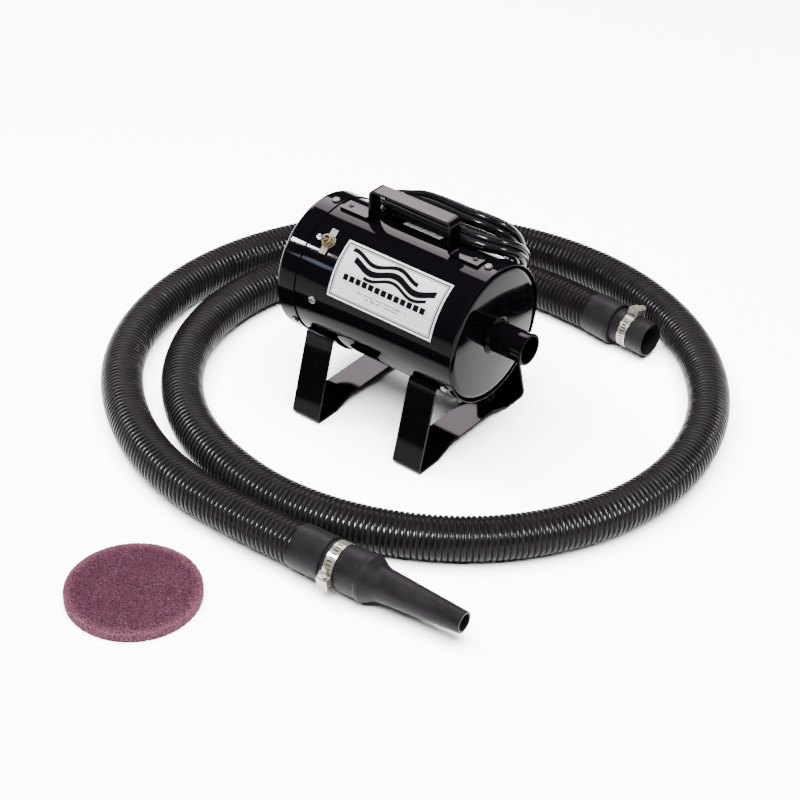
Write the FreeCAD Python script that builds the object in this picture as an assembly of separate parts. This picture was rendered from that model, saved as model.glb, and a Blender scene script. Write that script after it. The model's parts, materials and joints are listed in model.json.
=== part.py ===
"""Pet dryer: a horizontal steel barrel blower on two strap legs, with a carry handle,
a toggle switch, a coiled power cord, a loose corrugated hose and a loose foam filter.

Millimetres. +Z is up and the floor is z = 0. The barrel axis runs along X and the air
leaves at +X. Every shape is drawn with the barrel axis in the plane y = 0 and is moved
by SHIFT when it is saved, which puts the origin under the middle of the blower and filter.
"""
import FreeCAD
import Part
import math
import os

V = FreeCAD.Vector
X_AXIS = V(1, 0, 0)
Y_AXIS = V(0, 1, 0)
Z_AXIS = V(0, 0, 1)
SHIFT = V(-14, 211.85, 0)

# --- barrel and its two caps
AXIS_Z = 150.0
BARREL_R = 82.5
BARREL_WALL = 1.2
BARREL_REAR = -122.0
BARREL_FRONT = 115.0
REAR_CAP_R = 84.0
REAR_CAP_FRONT = -107.5
REAR_CAP_BACK = -135.0
REAR_OPENING_R = 70.0
FRONT_FACE = 117.6
FRONT_DROP = 3.15
FRONT_DOME_R = 490.0
FRONT_SHOULDER = 9.0
OUTLET_HOLE_R = 16.0

# --- outlet spigot
COLLAR_R = 20.6
COLLAR_END = 121.5
OUTLET_R = 18.0
OUTLET_LIP_R = 18.9
OUTLET_END = 163.0

# --- handle, legs and fasteners
HANDLE_WIDTH = 19.0
STRAP_T = 3.0
HANDLE_TOP = 273.5
HANDLE_LEFT = -60.0
HANDLE_RIGHT = 55.0
HANDLE_FOOT_LEFT = -101.0
HANDLE_FOOT_RIGHT = 93.0
HANDLE_RIVET_X = (-92.0, 84.0)
LEG_WIDTH = 38.1
LEG_X = (-74.6, 74.6)
FOOT_OUT = 103.8
FOOT_IN = 68.0
BRIDGE_END = 40.0
BRIDGE_Z = 13.5
TAB_TOP = 34.0
TAB_END = 62.0
CAP_SCREW_ANGLES = (90.0, -30.0, 210.0)
FRONT_SCREW_X = 101.5
REAR_SCREW_X = -114.5
MOUNT_SCREW_X = -80.0
WIRE_RUN_R = 76.5
WIRE_HOLE_ANGLES = (14.0, 105.0)
MOUNT_SCREW_ANGLES = (3.0, 123.0, 252.0)
LEG_SCREW_ANGLES = (-48.0, 228.0)

# --- switch
SWITCH_X = -82.5
SWITCH_ANGLE = 52.0
LEVER_TILT = 13.0

# --- hose and what is on it
HOSE_R = 24.9
HOSE_BORE_R = 22.9
HOSE_Z = 25.2
CUFF_R = 26.2
NOZZLE_Z = 28.3
NOZZLE_TURN = 4.0
NOZZLE_START = V(92, -306, NOZZLE_Z)
MACHINE_Z = 26.7
MACHINE_TURN = -5.0
MACHINE_START = V(77, 272.9, MACHINE_Z)
SLEEVE_R = 21.8
SLEEVE_BORE_R = 19.0

# --- power cord
CORD_R = 3.8
GRIP_X = -60.0
GRIP_OUT = 25.0

# --- loose foam filter
FILTER_R = 73.0
FILTER_T = 11.5
FILTER_AT = V(-10, -453, 0)


def save(shape, name):
    """Moves one sub-part to the shared frame and writes it."""
    moved = shape.copy()
    moved.translate(SHIFT)
    if not moved.isValid():
        print("not valid:", name)
    moved.exportStep("parts/" + name + ".step")
    print("%-24s %7.1f cm3  %d solids" % (name, moved.Volume / 1000.0, len(moved.Solids)))


def rounded_wire(points, radii):
    """Closed outline through the corner points, each corner rounded by its own radius."""
    count = len(points)
    starts = []
    mids = []
    ends = []
    for i in range(count):
        before = points[i - 1]
        here = points[i]
        after = points[(i + 1) % count]
        back = (before - here).normalize()
        ahead = (after - here).normalize()
        if radii[i] <= 0:
            starts.append(here)
            mids.append(None)
            ends.append(here)
            continue
        half = back.getAngle(ahead) / 2.0
        reach = radii[i] / math.tan(half)
        middle = (back + ahead).normalize()
        centre = here + middle * (radii[i] / math.sin(half))
        starts.append(here + back * reach)
        mids.append(centre - middle * radii[i])
        ends.append(here + ahead * reach)
    edges = []
    for i in range(count):
        if mids[i] is not None:
            edges.append(Part.Arc(starts[i], mids[i], ends[i]).toShape())
        after = starts[(i + 1) % count]
        if (after - ends[i]).Length > 1e-6:
            edges.append(Part.LineSegment(ends[i], after).toShape())
    return Part.Wire(edges)


def turned(profile, radii=None):
    """Solid of revolution about the X axis from (x, r) corners."""
    points = [V(x, 0, r) for x, r in profile]
    wire = rounded_wire(points, radii or [0] * len(points))
    return Part.Face(wire).revolve(V(0, 0, 0), X_AXIS, 360)


def on_axis(shape):
    """Lifts a shape drawn round the X axis up to the barrel axis."""
    shape.translate(V(0, 0, AXIS_Z))
    return shape


def rod(start, end, radius):
    """Round bar between two points."""
    line = end - start
    return Part.makeCylinder(radius, line.Length, start, line)


def block(size_x, size_y, size_z, centre):
    """Box with its middle at the given point."""
    corner = V(centre.x - size_x / 2.0, centre.y - size_y / 2.0, centre.z - size_z / 2.0)
    return Part.makeBox(size_x, size_y, size_z, corner)


def place_on_barrel(shape, x, angle, radius=BARREL_R):
    """Puts a shape drawn standing on z = 0 onto the barrel. Angle 0 faces -Y, 90 is the top."""
    shape.rotate(V(0, 0, 0), X_AXIS, 90 - angle)
    radial = math.radians(angle)
    shape.translate(V(x, -radius * math.cos(radial), AXIS_Z + radius * math.sin(radial)))
    return shape


def strap_face(path, bends, thickness):
    """Outline of a bent strap seen from its edge. All path points lie in one plane."""
    across = (path[1] - path[0]).cross(path[2] - path[1]).normalize()
    sides = []
    for side in (1, -1):
        lines = []
        for a, b in zip(path, path[1:]):
            off = across.cross(b - a).normalize() * (side * thickness / 2.0)
            lines.append((a + off, b + off))
        corners = [lines[0][0]]
        sizes = [0]
        for i in range(1, len(lines)):
            a, b = lines[i - 1]
            c, d = lines[i]
            u = (b - a).normalize()
            w = (d - c).normalize()
            t = (c - a).cross(w).dot(u.cross(w)) / u.cross(w).dot(u.cross(w))
            corners.append(a + u * t)
            turn = u.cross(w).dot(across) * side
            inner = turn > 0
            sizes.append(bends[i - 1] + (-thickness if inner else thickness) / 2.0)
        corners.append(lines[-1][1])
        sizes.append(0)
        sides.append((corners, sizes))
    points = sides[0][0] + sides[1][0][::-1]
    radii = sides[0][1] + sides[1][1][::-1]
    return Part.Face(rounded_wire(points, radii))


def path_wire(points):
    """Straight runs joined by tangent arcs. Returns the wire and the smallest arc radius."""
    edges = []
    smallest = 1e9
    last = points[0]
    for i in range(1, len(points) - 1):
        back = points[i - 1] - points[i]
        ahead = points[i + 1] - points[i]
        half_turn = (math.pi - back.getAngle(ahead)) / 2.0
        reach = 0.45 * min(back.Length, ahead.Length)
        radius = reach / math.tan(half_turn)
        smallest = min(smallest, radius)
        back.normalize()
        ahead.normalize()
        middle = (back + ahead).normalize()
        start = points[i] + back * reach
        end = points[i] + ahead * reach
        bulge = points[i] + middle * (radius / math.cos(half_turn) - radius)
        edges.append(Part.LineSegment(last, start).toShape())
        edges.append(Part.Arc(start, bulge, end).toShape())
        last = end
    edges.append(Part.LineSegment(last, points[-1]).toShape())
    return Part.Wire(edges), smallest


def tube(points, radius, bore=0.0, name=""):
    """Sweeps a round or hollow section along a path and prints how it bends."""
    wire, smallest = path_wire(points)
    ahead = (points[1] - points[0]).normalize()
    section = Part.Face(Part.Wire([Part.makeCircle(radius, points[0], ahead)]))
    if bore > 0:
        section = section.cut(Part.Face(Part.Wire([Part.makeCircle(bore, points[0], ahead)]))).Faces[0]
    solid = wire.makePipe(section)
    fullness = solid.Volume / (section.Area * wire.Length)
    print("%-12s length %5.0f mm, smallest bend %5.1f mm = %.1f diameters, fullness %.3f"
          % (name, wire.Length, smallest, smallest / (2 * radius), fullness))
    return solid


def pan_screw(length, head_r=4.6, head_h=2.6, shank_r=2.1):
    """Slotted pan-head screw standing on z = 0 with its shank below."""
    head = Part.makeCylinder(head_r, head_h)
    head = head.makeFillet(1.4, [head.Edges[0]])
    slot = block(2.4 * head_r, 1.2, 2.4, V(0, 0, head_h + 0.1))
    shank = Part.makeCylinder(shank_r, length, V(0, 0, -length))
    return head.cut(slot).fuse(shank).removeSplitter()


def screw_hole(radius=2.2, depth=40.0):
    """Cutter for one screw shank, standing through z = 0."""
    return Part.makeCylinder(radius, 2 * depth, V(0, 0, -depth))


def drilled(shape, spots):
    """Cuts a screw hole at each (x, angle) on the barrel."""
    for x, angle in spots:
        shape = shape.cut(place_on_barrel(screw_hole(depth=10), x, angle))
    return shape


def spots_at(x, angles):
    return [(x, angle) for angle in angles]


def barrel_spots():
    """Every screw or rivet through the barrel wall."""
    spots = spots_at(FRONT_SCREW_X, CAP_SCREW_ANGLES)
    spots += spots_at(REAR_SCREW_X, CAP_SCREW_ANGLES)
    spots += spots_at(MOUNT_SCREW_X, MOUNT_SCREW_ANGLES)
    spots += [(x, 90) for x in HANDLE_RIVET_X]
    for x in LEG_X:
        spots += spots_at(x, LEG_SCREW_ANGLES)
    return spots


def on_barrel(x, angle, radius):
    """Point at an angle and radius about the barrel axis."""
    up = math.radians(angle)
    return V(x, -radius * math.cos(up), AXIS_Z + radius * math.sin(up))


# ---------------------------------------------------------------- shell
def barrel():
    inner = BARREL_R - BARREL_WALL
    profile = [(BARREL_REAR, inner), (BARREL_REAR, BARREL_R), (BARREL_FRONT, BARREL_R), (BARREL_FRONT, inner)]
    shell = drilled(on_axis(turned(profile, [0, 0, 0.9, 0])), barrel_spots())
    shell = shell.cut(place_on_barrel(screw_hole(6.1, 12), SWITCH_X, SWITCH_ANGLE))
    return shell.cut(place_on_barrel(screw_hole(7.1, 12), GRIP_X, 180))


def front_cap():
    """Slightly domed lid with a rounded shoulder, its skirt pushed inside the barrel mouth."""
    outer = BARREL_R - BARREL_WALL - 0.1
    skirt = 92.0
    rim = FRONT_FACE - FRONT_DROP
    bend = 48.5
    inside = FRONT_FACE - 1.5
    lid = turned([(skirt, outer - 1.5), (skirt, outer), (rim, outer), (FRONT_FACE, bend),
                  (FRONT_FACE, OUTLET_HOLE_R), (inside, OUTLET_HOLE_R), (inside, bend), (rim - 1.5, outer - 1.5)],
                 [0, 0, FRONT_SHOULDER, FRONT_DOME_R, 0, 0, FRONT_DOME_R, FRONT_SHOULDER - 1.5])
    return drilled(on_axis(lid), spots_at(FRONT_SCREW_X, CAP_SCREW_ANGLES))


def rear_cap():
    """Ring slid over the rear of the barrel. Its rolled lip holds the foam filter in."""
    inner = BARREL_R + 0.1
    lip = REAR_CAP_BACK + 1.4
    ring = turned([(REAR_CAP_FRONT, inner), (REAR_CAP_FRONT, REAR_CAP_R), (REAR_CAP_BACK, REAR_CAP_R),
                   (REAR_CAP_BACK, REAR_OPENING_R), (lip, REAR_OPENING_R), (lip, inner)],
                  [0, 0.5, 6.5, 0, 0, 5.1])
    return drilled(on_axis(ring), spots_at(REAR_SCREW_X, CAP_SCREW_ANGLES))


def intake_guard():
    """Perforated disc with a short rim, pushed into the rear of the barrel."""
    outer = BARREL_R - BARREL_WALL - 0.1
    disc = turned([(-121.5, 0), (-121.5, outer), (-118.5, outer), (-118.5, outer - 1.2),
                   (-120.0, outer - 1.2), (-120.0, 0)])
    disc = on_axis(disc)
    holes = [rod(V(-125, 0, AXIS_Z), V(-115, 0, AXIS_Z), 4.0)]
    for ring, count in ((14.0, 6), (28.0, 12), (42.0, 18), (56.0, 24), (70.0, 30)):
        for i in range(count):
            turn = 2 * math.pi * i / count
            spot = V(0, ring * math.cos(turn), AXIS_Z + ring * math.sin(turn))
            holes.append(rod(spot + V(-125, 0, 0), spot + V(-115, 0, 0), 4.8))
    return disc.cut(Part.makeCompound(holes))


def outlet_collar():
    """Flared collar that carries the spigot on the lid."""
    hole = OUTLET_R + 0.05
    foot = COLLAR_R + 2.2
    return on_axis(turned([(FRONT_FACE, hole), (FRONT_FACE, foot), (FRONT_FACE + 1.1, foot),
                           (FRONT_FACE + 1.9, COLLAR_R), (COLLAR_END, COLLAR_R), (COLLAR_END, hole)],
                          [0, 0, 0.5, 0.5, 1.5, 0]))


def outlet_tube():
    """Spigot with a rolled lip. The hose sleeve pushes over it."""
    end = OUTLET_END
    return on_axis(turned([(FRONT_FACE, OUTLET_HOLE_R), (FRONT_FACE, OUTLET_R), (end - 3.6, OUTLET_R),
                           (end - 2.6, OUTLET_LIP_R), (end, OUTLET_LIP_R), (end, OUTLET_HOLE_R)],
                          [0, 0, 0, 0.4, 0.8, 0.6]))


# ---------------------------------------------------------------- handle and legs
def handle():
    low = AXIS_Z + BARREL_R + STRAP_T / 2.0
    high = HANDLE_TOP - STRAP_T / 2.0
    left = HANDLE_LEFT + STRAP_T / 2.0
    right = HANDLE_RIGHT - STRAP_T / 2.0
    y = -HANDLE_WIDTH / 2.0
    path = [V(HANDLE_FOOT_LEFT, y, low), V(left, y, low), V(left, y, high),
            V(right, y, high), V(right, y, low), V(HANDLE_FOOT_RIGHT, y, low)]
    bar = strap_face(path, [4.5, 6.0, 6.0, 4.5], STRAP_T).extrude(V(0, HANDLE_WIDTH, 0))
    return drilled(bar, [(x, 90) for x in HANDLE_RIVET_X])


def leg(x):
    """One strap: curved tabs under the barrel, two splayed legs, foot flats and a raised floor run."""
    mid_r = BARREL_R + STRAP_T / 2.0
    half = STRAP_T / 2.0

    def on_circle(angle, radius):
        down = math.radians(angle)
        return V(x - LEG_WIDTH / 2.0, -radius * math.cos(down), AXIS_Z - radius * math.sin(down))

    end = on_circle(TAB_END, mid_r)
    spread = math.radians((TAB_END - TAB_TOP) / 2.0)
    corner = on_circle((TAB_END + TAB_TOP) / 2.0, mid_r / math.cos(spread))
    top = on_circle(TAB_TOP, mid_r)
    rise = math.radians(TAB_TOP)
    fold = top + V(0, -math.sin(rise), math.cos(rise)) * 7.3
    near = [end, corner, fold, V(end.x, -FOOT_OUT + half, half), V(end.x, -FOOT_IN, half)]
    near.append(V(end.x, -BRIDGE_END, BRIDGE_Z - half))
    bends = [mid_r, 3.0, 5.0, 8.0, 8.0]
    far = [V(p.x, -p.y, p.z) for p in near[::-1]]
    band = strap_face(near + far, bends + bends[::-1], STRAP_T).extrude(V(LEG_WIDTH, 0, 0))
    return drilled(band, spots_at(x, LEG_SCREW_ANGLES))


def barrel_screws(x, angles, radius, length):
    """Ring of screws with their heads at the given radius."""
    return [place_on_barrel(pan_screw(length), x, angle, radius) for angle in angles]


def handle_rivets():
    """Low blind rivets, each with a dimple where its stem broke off and a bulb inside the barrel."""
    rivets = []
    for x in HANDLE_RIVET_X:
        rivet = turned([(-6.5, 0), (-6.5, 2.9), (-4.4, 2.9), (-4.4, 2.1), (0, 2.1), (0, 3.5), (1.1, 2.4),
                        (1.1, 1.1), (0.3, 1.1), (0.3, 0)], [0, 0.8, 0, 0, 0, 0.3, 0.3, 0.2, 0, 0])
        rivet.rotate(V(0, 0, 0), Y_AXIS, -90)
        rivets.append(place_on_barrel(rivet, x, 90, BARREL_R + STRAP_T))
    return Part.makeCompound(rivets)


def leg_screws():
    screws = []
    for x in LEG_X:
        screws += barrel_screws(x, LEG_SCREW_ANGLES, BARREL_R + STRAP_T, 9.0)
    return Part.makeCompound(screws)


# ---------------------------------------------------------------- labels
def label(x_start, x_end, angle_start, angle_end, thickness):
    """Thin plate that follows the barrel."""
    inner = BARREL_R + 0.02
    outer = inner + thickness
    ring = turned([(x_start, inner), (x_start, outer), (x_end, outer), (x_end, inner)])
    opening = angle_end - angle_start
    wedge = Part.makeCylinder(BARREL_R + 20, x_end - x_start + 2, V(x_start - 1, 0, 0), X_AXIS, opening)
    middle = wedge.CenterOfMass
    faces = math.degrees(math.atan2(middle.z, middle.y))
    wanted = 180.0 - (angle_start + angle_end) / 2.0
    wedge.rotate(V(0, 0, 0), X_AXIS, wanted - faces)
    return on_axis(ring.common(wedge))


# ---------------------------------------------------------------- switch
def at_switch(shape):
    return place_on_barrel(shape, SWITCH_X, SWITCH_ANGLE)


def switch_plate():
    """Round legend plate with two ears."""
    plate = Part.makeCylinder(8.6, 0.8, V(0, 0, 0.6))
    for side in (1, -1):
        plate = plate.fuse(block(9.0, 9.6, 0.8, V(0, side * 11.2, 1.0)))
    plate = plate.removeSplitter()
    plate = plate.cut(Part.makeCylinder(6.1, 4, V(0, 0, -1)))
    return at_switch(plate)


def hexagon(size, height):
    """Six-sided block standing on z = 0, with the given distance from its middle to a corner."""
    points = []
    for i in range(6):
        turn = math.radians(60 * i)
        points.append(V(size * math.cos(turn), size * math.sin(turn), 0))
    return Part.Face(Part.makePolygon(points + [points[0]])).extrude(V(0, 0, height))


def switch_nut():
    nut = hexagon(8.2, 3.0)
    nut.translate(V(0, 0, 1.45))
    nut = nut.cut(Part.makeCylinder(6.0, 10, V(0, 0, -1)))
    return at_switch(nut)


def switch_bushing():
    tube_outer = Part.makeCylinder(5.95, 15.5, V(0, 0, -6.5))
    hole = Part.makeCylinder(4.2, 30, V(0, 0, -10))
    return at_switch(tube_outer.cut(hole))


def switch_body():
    """Moulded case inside the barrel, with two screw terminals."""
    case = block(17.0, 28.0, 17.0, V(0, 0, -15.1))
    case = case.cut(Part.makeCylinder(4.4, 8.0, V(0, 0, -12.6)))
    for side in (1, -1):
        case = case.fuse(block(5.0, 6.0, 5.0, V(0, side * 8.0, -26.0)))
    return at_switch(case)


def switch_lever():
    """Bat lever on a cross pin. It is drawn upright and leans to its lower stop."""
    pivot = V(0, 0, 3.5)
    stem = Part.makeCone(2.0, 2.6, 19.0, V(0, 0, 3.5))
    tip = Part.makeSphere(3.3, V(0, 0, 22.5))
    ball = Part.makeSphere(3.0, pivot)
    pin = Part.makeCylinder(1.2, 7.6, pivot - V(3.8, 0, 0), X_AXIS)
    tail = Part.makeCylinder(1.6, 7.0, V(0, 0, -4.5))
    bat = stem.fuse([tip, ball, pin, tail]).removeSplitter()
    bat.rotate(pivot, X_AXIS, LEVER_TILT)
    return at_switch(bat)


# ---------------------------------------------------------------- motor, held still
def motor_mount_ring():
    """Steel ring behind the fan, held by three screws through the barrel, with two wire holes."""
    outer = BARREL_R - BARREL_WALL - 0.1
    ring = turned([(-88, outer - 2), (-88, outer), (-70, outer), (-70, 48), (-72, 48), (-72, outer - 2)],
                  [0, 0, 3, 0, 0, 1])
    ring = drilled(on_axis(ring), barrel_spots())
    ring = ring.cut(place_on_barrel(screw_hole(7.1, 12), SWITCH_X, SWITCH_ANGLE))
    for angle in WIRE_HOLE_ANGLES:
        ring = ring.cut(rod(on_barrel(-75, angle, WIRE_RUN_R), on_barrel(-65, angle, WIRE_RUN_R), 2.5))
    return ring


def motor_gasket():
    return on_axis(turned([(-70, 50), (-70, 70), (-66, 70), (-66, 50)]))


def fan_shell():
    """Spun cover of the fan with a round intake eye."""
    return on_axis(turned([(-66, 26), (-66, 72), (-22, 72), (-22, 70.8), (-64.8, 70.8), (-64.8, 26)],
                          [0, 5, 0, 0, 3.8, 0]))


def diffuser():
    """Still plate behind the fan wheel: swept vanes turn the air toward the motor."""
    plate = turned([(-40, 7), (-40, 62), (-37.5, 62), (-37.5, 15), (-27, 15), (-27, 11.1), (-36.5, 11.1),
                    (-36.5, 7)])
    for i in range(9):
        vane = block(14.0, 1.8, 42.0, V(-31, 0, 42))
        vane.rotate(V(-31, 0, 24), X_AXIS, 28)
        vane.rotate(V(0, 0, 0), X_AXIS, 40 * i)
        plate = plate.fuse(vane)
    rim = turned([(-38, 69.2), (-38, 70.6), (-22, 70.6), (-22, 69.2)])
    back = turned([(-24, 46), (-24, 70.6), (-22, 70.6), (-22, 46)])
    return on_axis(plate.fuse([rim, back]).removeSplitter())


def motor_bracket():
    """End frame: a ring on the diffuser, two arms and the outer bearing boss."""
    ring = turned([(-22, 46.5), (-22, 54), (-16, 54), (-16, 46.5)])
    boss = turned([(60, 11.1), (60, 16), (72, 16), (72, 5.5), (70, 5.5), (70, 11.1)])
    frame = ring.fuse(boss)
    for side in (1, -1):
        arm = Part.makeBox(84.0, 18.0, 3.0, V(-20, -9, 48.5 if side > 0 else -51.5))
        cross = Part.makeBox(4.0, 18.0, 37.0, V(62, -9, 14.5 if side > 0 else -51.5))
        frame = frame.fuse([arm, cross])
    return on_axis(frame.removeSplitter())


def coil_blank(side, gap=0.0):
    """Square coil round one pole, grown by a gap all round."""
    outer = block(54.0 + 2 * gap, 42.0 + 2 * gap, 6.0 + 2 * gap, V(12, 0, side * 31.0))
    return outer.cut(block(38.6 - 2 * gap, 24.6 - 2 * gap, 10.0, V(12, 0, side * 31.0)))


def stator_core():
    """Laminated field core: a flattened ring with two pole faces."""
    core = Part.makeCylinder(47.0, 38.0, V(-7, 0, 0), X_AXIS)
    core = core.common(block(38.0, 94.0, 82.0, V(12, 0, 0)))
    window = Part.makeCylinder(35.0, 40.0, V(-8, 0, 0), X_AXIS)
    poles = block(38.0, 24.0, 82.0, V(12, 0, 0)).common(Part.makeCylinder(36.0, 38.0, V(-7, 0, 0), X_AXIS))
    shoe = Part.makeCylinder(28.0, 38.0, V(-7, 0, 0), X_AXIS).common(block(38.0, 40.0, 60.0, V(12, 0, 0)))
    core = core.cut(window).fuse([poles, shoe])
    core = core.cut(Part.makeCylinder(24.0, 50.0, V(-15, 0, 0), X_AXIS))
    core = core.cut([coil_blank(1, 0.2), coil_blank(-1, 0.2)])
    return on_axis(core.removeSplitter())


def field_coils():
    """Two wound coils, one round each pole."""
    return Part.makeCompound([on_axis(coil_blank(side)) for side in (1, -1)])


def bearings():
    """Two ball bearings, each an outer ring that stays still."""
    rings = []
    for start in (-36.0, 61.5):
        end = start + 7
        ring = turned([(start, 4.05), (start, 11.0), (end, 11.0), (end, 4.05)], [0.4, 0.6, 0.6, 0.4])
        rings.append(on_axis(ring))
    return Part.makeCompound(rings)


def brush_holders():
    """Two brass guides, one on each side of the commutator, on a moulded bar."""
    holders = []
    for side in (1, -1):
        guide = block(11.0, 26.0, 10.0, V(50, side * 27.0, AXIS_Z))
        guide = guide.cut(block(8.1, 30.0, 7.1, V(50, side * 27.0, AXIS_Z)))
        foot = block(11.0, 8.0, 6.0, V(50, side * 36.0, AXIS_Z - 8.0))
        arm = block(6.0, 8.0, 6.0, V(41.5, side * 36.0, AXIS_Z - 8.0))
        holders.append(guide.fuse([foot, arm]).removeSplitter())
    return Part.makeCompound(holders)


def brushes():
    blocks = []
    for side in (1, -1):
        blocks.append(block(8.0, 18.0, 7.0, V(50, side * (11.6 + 9.0), AXIS_Z)))
    return Part.makeCompound(blocks)


def internal_wires():
    """Insulated leads from the cord grip to the switch, and from both to the brushes."""
    run = WIRE_RUN_R
    low, high = WIRE_HOLE_ANGLES
    to_switch = [on_barrel(GRIP_X, angle, run) for angle in (177, 158, 140, 122)]
    to_switch += [on_barrel(-66, high, run), on_barrel(-82, high, run), on_barrel(-83, 84, 67)]
    to_switch.append(on_barrel(SWITCH_X, 63.4, 57.8))
    to_brush = [on_barrel(GRIP_X, 184, run), on_barrel(-18, 184, run), on_barrel(20, 184, 66)]
    to_brush += [on_barrel(43, 182, 57), on_barrel(50, 180, 41.0)]
    across = [on_barrel(SWITCH_X, 40.6, 57.8), on_barrel(-83, 27, 68), on_barrel(-80, low, run)]
    across += [on_barrel(-18, low, run), on_barrel(20, 9, 67), on_barrel(43, 3, 57), on_barrel(50, 0, 41.0)]
    return Part.makeCompound([tube(points, 1.6, name="wire") for points in (to_switch, to_brush, across)])


# ---------------------------------------------------------------- rotor
def motor_shaft():
    """Shaft with a slightly thinner end where the fan nut screws on."""
    profile = [(-70, 0), (-70, 3.9), (-58, 3.9), (-58, 4.0), (71, 4.0), (71, 0)]
    return on_axis(turned(profile, [0, 0.8, 0, 0, 0.8, 0]))


def impeller():
    """Fan wheel: eye plate, back plate and seven swept vanes."""
    wheel = turned([(-58, 4.0), (-58, 9), (-46, 9), (-46, 65), (-45, 65), (-45, 4.0)])
    sweep = [V(-59.5, 0, 22), V(-59.5, 10, 34), V(-59.5, 24, 48), V(-59.5, 34, 54)]
    vane = strap_face(sweep, [25, 25], 1.2).extrude(V(14.0, 0, 0))
    for i in range(7):
        turned_vane = vane.copy()
        turned_vane.rotate(V(0, 0, 0), X_AXIS, 360.0 * i / 7)
        wheel = wheel.fuse(turned_vane)
    eye = turned([(-60, 25), (-60, 65), (-59, 65), (-59, 25)])
    return on_axis(wheel.fuse(eye).removeSplitter())


def impeller_nut():
    nut = hexagon(6.9, 5.2).cut(Part.makeCylinder(3.9, 20, V(0, 0, -5)))
    nut.rotate(V(0, 0, 0), Y_AXIS, 90)
    nut.translate(V(-63.2, 0, 0))
    return on_axis(nut)


def armature_core():
    """Laminated rotor with open slots."""
    core = turned([(-6, 4.0), (-6, 23.2), (30, 23.2), (30, 4.0)])
    for i in range(12):
        slot = block(40.0, 3.0, 9.0, V(12, 0, 19.5))
        slot.rotate(V(0, 0, 0), X_AXIS, 30 * i)
        core = core.cut(slot)
    return on_axis(core)


def armature_windings():
    """Copper wound through the slots, with a crown at each end."""
    wound = turned([(-15, 5), (-15, 19.5), (-6.05, 19.5), (-6.05, 5)], [0, 4, 0, 0])
    crown = turned([(30.05, 5), (30.05, 19.5), (39, 19.5), (39, 5)], [0, 0, 4, 0])
    bars = []
    for i in range(12):
        bar = block(36.4, 2.8, 3.6, V(12, 0, 17.2))
        bar.rotate(V(0, 0, 0), X_AXIS, 30 * i)
        bars.append(bar)
    return on_axis(wound.fuse([crown] + bars).removeSplitter())


def commutator():
    ring = turned([(42, 4.0), (42, 13), (44, 13), (44, 11.3), (57, 11.3), (57, 4.0)])
    for i in range(24):
        slot = block(12.0, 0.6, 1.0, V(51, 0, 11.3))
        slot.rotate(V(0, 0, 0), X_AXIS, 15 * i)
        ring = ring.cut(slot)
    return on_axis(ring)


# ---------------------------------------------------------------- hose
# corners of the loose spiral that the hose lies in, from the nozzle end inwards
HOSE_CORNERS = ((-105, -305), (-214, -258), (-305, -172), (-351, -52), (-348, 78), (-294, 203), (-194, 303),
                (-64, 357), (75, 359), (201, 304), (292, 206), (333, 84), (322, -37), (266, -138),
                (190, -206), (98, -249), (-4, -262), (-116, -237), (-200, -182), (-256, -105),
                (-281, -16), (-274, 75), (-236, 157), (-168, 224), (-65, 270))


def heading(degrees):
    """Level unit vector, turned from +X toward +Y."""
    return V(math.cos(math.radians(degrees)), math.sin(math.radians(degrees)), 0)


def hose_route():
    """Centre line of the hose from the nozzle cuff to the machine cuff."""
    points = [NOZZLE_START + heading(NOZZLE_TURN) * 26.0]
    points.append(NOZZLE_START - heading(NOZZLE_TURN) * 84.0 - V(0, 0, 1.0))
    for x, y in HOSE_CORNERS:
        points.append(V(x, y, HOSE_Z))
    points.append(MACHINE_START - heading(MACHINE_TURN) * 47.0)
    points.append(MACHINE_START + heading(MACHINE_TURN) * 26.0)
    return points


def at_nozzle(shape):
    """Carries a fitting drawn along +X from the origin to the nozzle end of the hose."""
    shape.rotate(V(0, 0, 0), Z_AXIS, NOZZLE_TURN)
    shape.translate(NOZZLE_START)
    return shape


def at_machine(shape):
    """Carries a fitting drawn along +X from the origin to the machine end of the hose."""
    shape.rotate(V(0, 0, 0), Z_AXIS, MACHINE_TURN)
    shape.translate(MACHINE_START)
    return shape


def cuff_machine():
    """Rubber cuff that joins the hose to the sleeve."""
    pocket = HOSE_R + 0.1
    socket = SLEEVE_R + 0.05
    profile = [(0, pocket), (0, CUFF_R - 0.6), (33, CUFF_R + 0.4), (39, CUFF_R), (39, socket), (28, socket),
               (28, pocket)]
    return at_machine(turned(profile, [0, 0.5, 2, 2, 0, 0, 0]))


def hose_sleeve():
    """Soft rubber sleeve that pushes over the blower outlet."""
    seat = SLEEVE_R - 0.6
    profile = [(29, SLEEVE_BORE_R), (29, SLEEVE_R), (43, SLEEVE_R), (43, seat), (88, seat),
               (88, SLEEVE_BORE_R)]
    return at_machine(turned(profile, [0, 0, 0.2, 0.2, 0.8, 0.6]))


def cuff_nozzle():
    """Rubber cuff with a thinner spigot that goes inside the nozzle."""
    pocket = HOSE_R + 0.1
    profile = [(0, pocket), (0, CUFF_R - 0.6), (34, CUFF_R), (41, CUFF_R), (41, 18.9), (62, 18.9), (62, 16.5),
               (28, 16.5), (28, pocket)]
    return at_nozzle(turned(profile, [0, 0.5, 0, 2.5, 0, 0.8, 0, 0, 0]))


def nozzle():
    """Rubber nozzle: a thick shoulder, a hollow curve down to a slim cone, and a round mouth."""
    profile = [(41.5, 19.0), (41.5, 24.4), (62, 24.4), (62, 26.4), (86, 26.4), (88, 27.2), (92, 27.2),
               (105, 19.4), (207, 12.3), (207, 9.5), (192, 9.5), (106, 14.5), (86, 19.0)]
    return at_nozzle(turned(profile, [0, 0.5, 0, 1.0, 1, 1, 3, 22, 1.2, 0.8, 5, 5, 5]))


CLAMP_SCREW_OUT = 5.4


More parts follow.
